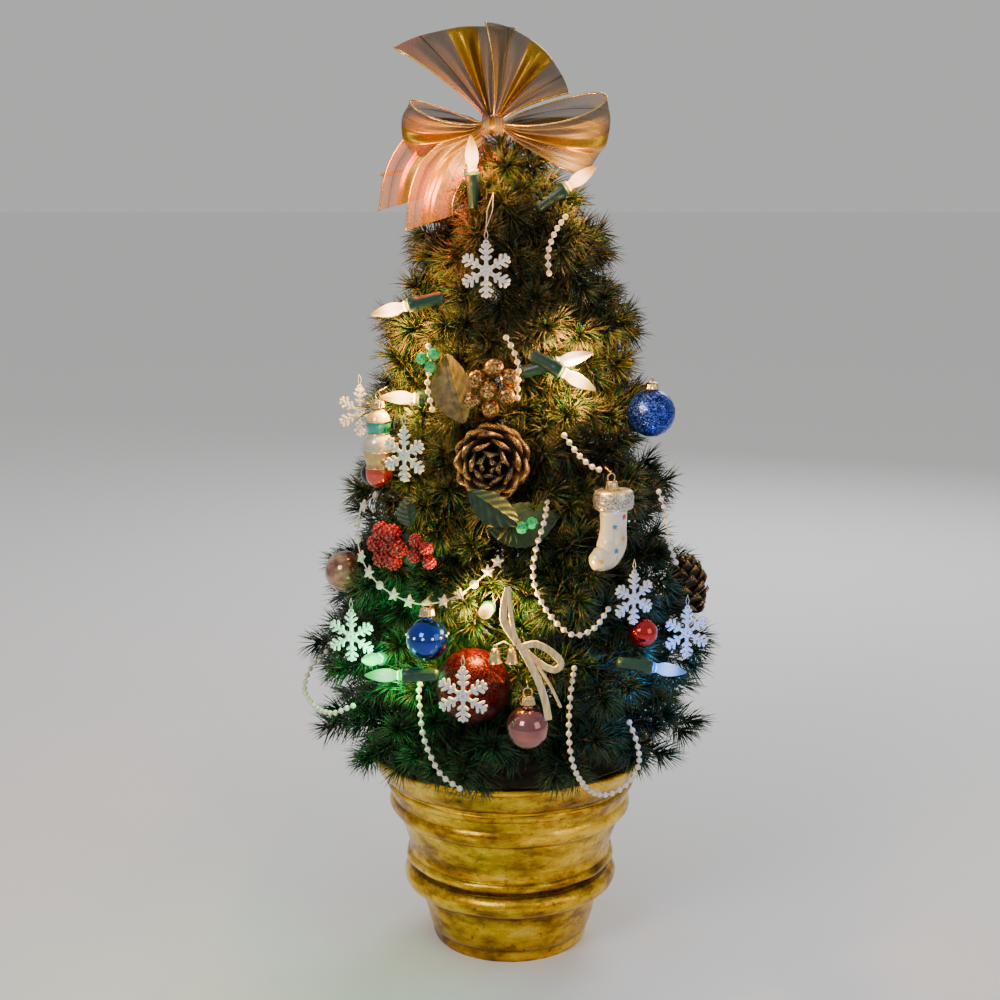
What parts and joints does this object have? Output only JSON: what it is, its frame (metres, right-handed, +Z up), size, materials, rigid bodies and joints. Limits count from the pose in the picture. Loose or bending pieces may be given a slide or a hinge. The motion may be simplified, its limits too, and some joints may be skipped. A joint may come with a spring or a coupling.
{
  "type": "artificial tabletop tree",
  "caption": "Small artificial needle tree in a gilded urn pot, with a sheer ribbon bow, push-in lamps, bead garlands and hung ornaments that swing.",
  "frame": {"origin": "centre of the pot's flat bottom, on the surface that it stands on", "axes": "+Z up along the trunk, -Y towards the front that carries the cone, +X to the right seen from the front"},
  "size_m": [0.2603, 0.2555, 0.5848],
  "materials": {
    "gold_leaf": "worn gold leaf over a warm ground, satin",
    "plaster": "matt",
    "trunk_tape": "matt",
    "needle_green": "satin, brown tips",
    "sheer_ribbon": "sheer with metallic stripes",
    "socket_green": "semi-gloss",
    "bulb_warm": "glossy, lit",
    "bulb_green": "glossy, lit",
    "bulb_blue": "glossy, lit",
    "cap_gold": "bright",
    "glass_blue": "mirror lacquer",
    "glass_rose": "mirror lacquer",
    "copper_glass": "glossy",
    "frosted_white": "glitter frost",
    "pearl_glass": "pearl lacquer",
    "banded_glass": "painted bands",
    "glitter_blue": "glitter",
    "glitter_red": "glitter",
    "cream_satin": "satin",
    "cone_brown": "matt with gold glitter edges",
    "berry_red": "beaded",
    "leaf_olive": "satin",
    "leaf_dark": "satin",
    "garland_cream": "pearl"
  },
  "bodies": {
    "tree": {"berry_flower": "berry_red", "bow_fan_left": "sheer_ribbon", "bow_fan_right": "sheer_ribbon", "bow_knot": "sheer_ribbon", "bow_loop_left": "sheer_ribbon", "bow_loop_right": "sheer_ribbon", "bow_tail": "sheer_ribbon", "branch_tier_1": "needle_green", "branch_tier_2": "needle_green", "branch_tier_3": "needle_green", "branch_tier_4": "needle_green", "branch_tier_5": "needle_green", "branch_tier_6": "needle_green", "branch_tier_7": "needle_green", "bulb_blue": "bulb_blue", "bulb_green": "bulb_green", "bulb_middle": "bulb_warm", "bulb_top": "bulb_warm", "bulb_upper_left": "bulb_warm", "bulb_upper_right": "bulb_warm", "glass_ball_copper": "copper_glass", "glitter_ball_red": "glitter_red", "leader": "needle_green", "leaf_dark": "leaf_dark", "leaf_olive": "leaf_olive", "pearl_strand_left": "garland_cream", "pearl_strand_middle": "garland_cream", "pearl_strand_rim": "garland_cream", "pearl_strand_side": "garland_cream", "pine_cone_front": "cone_brown", "pine_cone_side": "cone_brown", "pot": "gold_leaf", "pot_filler": "plaster", "satin_bow": "cream_satin", "socket_blue": "socket_green", "socket_green": "socket_green", "socket_middle": "socket_green", "socket_top": "socket_green", "socket_upper_left": "socket_green", "socket_upper_right": "socket_green", "star_garland": "garland_cream", "trunk": "trunk_tape"},
    "snowflake_top_swing": {"snowflake_top": "frosted_white"},
    "snowflake_left_swing": {"snowflake_left": "frosted_white"},
    "snowflake_mid_left_swing": {"snowflake_mid_left": "frosted_white"},
    "snowflake_low_swing": {"snowflake_low": "frosted_white"},
    "snowflake_low_left_swing": {"snowflake_low_left": "frosted_white"},
    "snowflake_mid_right_swing": {"snowflake_mid_right": "frosted_white"},
    "snowflake_right_swing": {"snowflake_right": "frosted_white"},
    "glass_ball_blue_swing": {"glass_ball_blue": "glass_blue", "glass_ball_blue_cap": "cap_gold"},
    "glass_ball_rose_swing": {"glass_ball_rose": "glass_rose", "glass_ball_rose_cap": "cap_gold"},
    "boot_swing": {"boot": "pearl_glass", "boot_cap": "cap_gold"},
    "banded_drop_swing": {"banded_drop": "banded_glass", "banded_drop_cap": "cap_gold"},
    "glitter_ball_blue_swing": {"glitter_ball_blue": "glitter_blue"},
    "bells_swing": {"bell_left": "cap_gold", "bell_right": "cap_gold"}
  },
  "joints": [
    {"name": "snowflake_top_hinge", "type": "hinge", "parent": "tree", "child": "snowflake_top_swing", "pos_m": [-0.01452, -0.08236, 0.47], "axis": [-0.1736, -0.9848, 0], "range_deg": [-20, 20]},
    {"name": "snowflake_left_hinge", "type": "hinge", "parent": "tree", "child": "snowflake_left_swing", "pos_m": [-0.0943, -0.01663, 0.379], "axis": [-0.9848, -0.1736, 0], "range_deg": [-15, 15]},
    {"name": "snowflake_mid_left_hinge", "type": "hinge", "parent": "tree", "child": "snowflake_mid_left_swing", "pos_m": [-0.06229, -0.09235, 0.364], "axis": [-0.5592, -0.829, 0], "range_deg": [-12, 12]},
    {"name": "snowflake_low_hinge", "type": "hinge", "parent": "tree", "child": "snowflake_low_swing", "pos_m": [-0.02753, -0.14161, 0.234], "axis": [-0.1908, -0.9816, 0], "range_deg": [-15, 15]},
    {"name": "snowflake_low_left_hinge", "type": "hinge", "parent": "tree", "child": "snowflake_low_left_swing", "pos_m": [-0.09657, -0.07545, 0.25], "axis": [-0.788, -0.6157, 0], "range_deg": [-15, 15]},
    {"name": "snowflake_mid_right_hinge", "type": "hinge", "parent": "tree", "child": "snowflake_mid_right_swing", "pos_m": [0.07234, -0.096, 0.279], "axis": [0.6018, -0.7986, 0], "range_deg": [-15, 15]},
    {"name": "snowflake_right_hinge", "type": "hinge", "parent": "tree", "child": "snowflake_right_swing", "pos_m": [0.10846, -0.06012, 0.248], "axis": [0.8746, -0.4848, 0], "range_deg": [-15, 15]},
    {"name": "glass_ball_blue_hinge", "type": "hinge", "parent": "tree", "child": "glass_ball_blue_swing", "pos_m": [-0.04864, -0.11743, 0.26], "axis": [-0.3827, -0.9239, 0], "range_deg": [-15, 15]},
    {"name": "glass_ball_rose_hinge", "type": "hinge", "parent": "tree", "child": "glass_ball_rose_swing", "pos_m": [0.0093, -0.13305, 0.212], "axis": [0.0698, -0.9976, 0], "range_deg": [-12, 12]},
    {"name": "boot_hinge", "type": "hinge", "parent": "tree", "child": "boot_swing", "pos_m": [0.05845, -0.09001, 0.329], "axis": [0.5446, -0.8387, 0], "range_deg": [-12, 12]},
    {"name": "banded_drop_hinge", "type": "hinge", "parent": "tree", "child": "banded_drop_swing", "pos_m": [-0.07966, -0.06003, 0.373], "axis": [-0.7986, -0.6018, 0], "range_deg": [-12, 12]},
    {"name": "glitter_ball_blue_hinge", "type": "hinge", "parent": "tree", "child": "glitter_ball_blue_swing", "pos_m": [0.08556, -0.04549, 0.378], "axis": [0.8829, -0.4695, 0], "range_deg": [-15, 15]},
    {"name": "bells_hinge", "type": "hinge", "parent": "tree", "child": "bells_swing", "pos_m": [-0.00454, -0.12991, 0.2385], "axis": [-0.0349, -0.9994, 0], "range_deg": [-15, 15]}
  ]
}
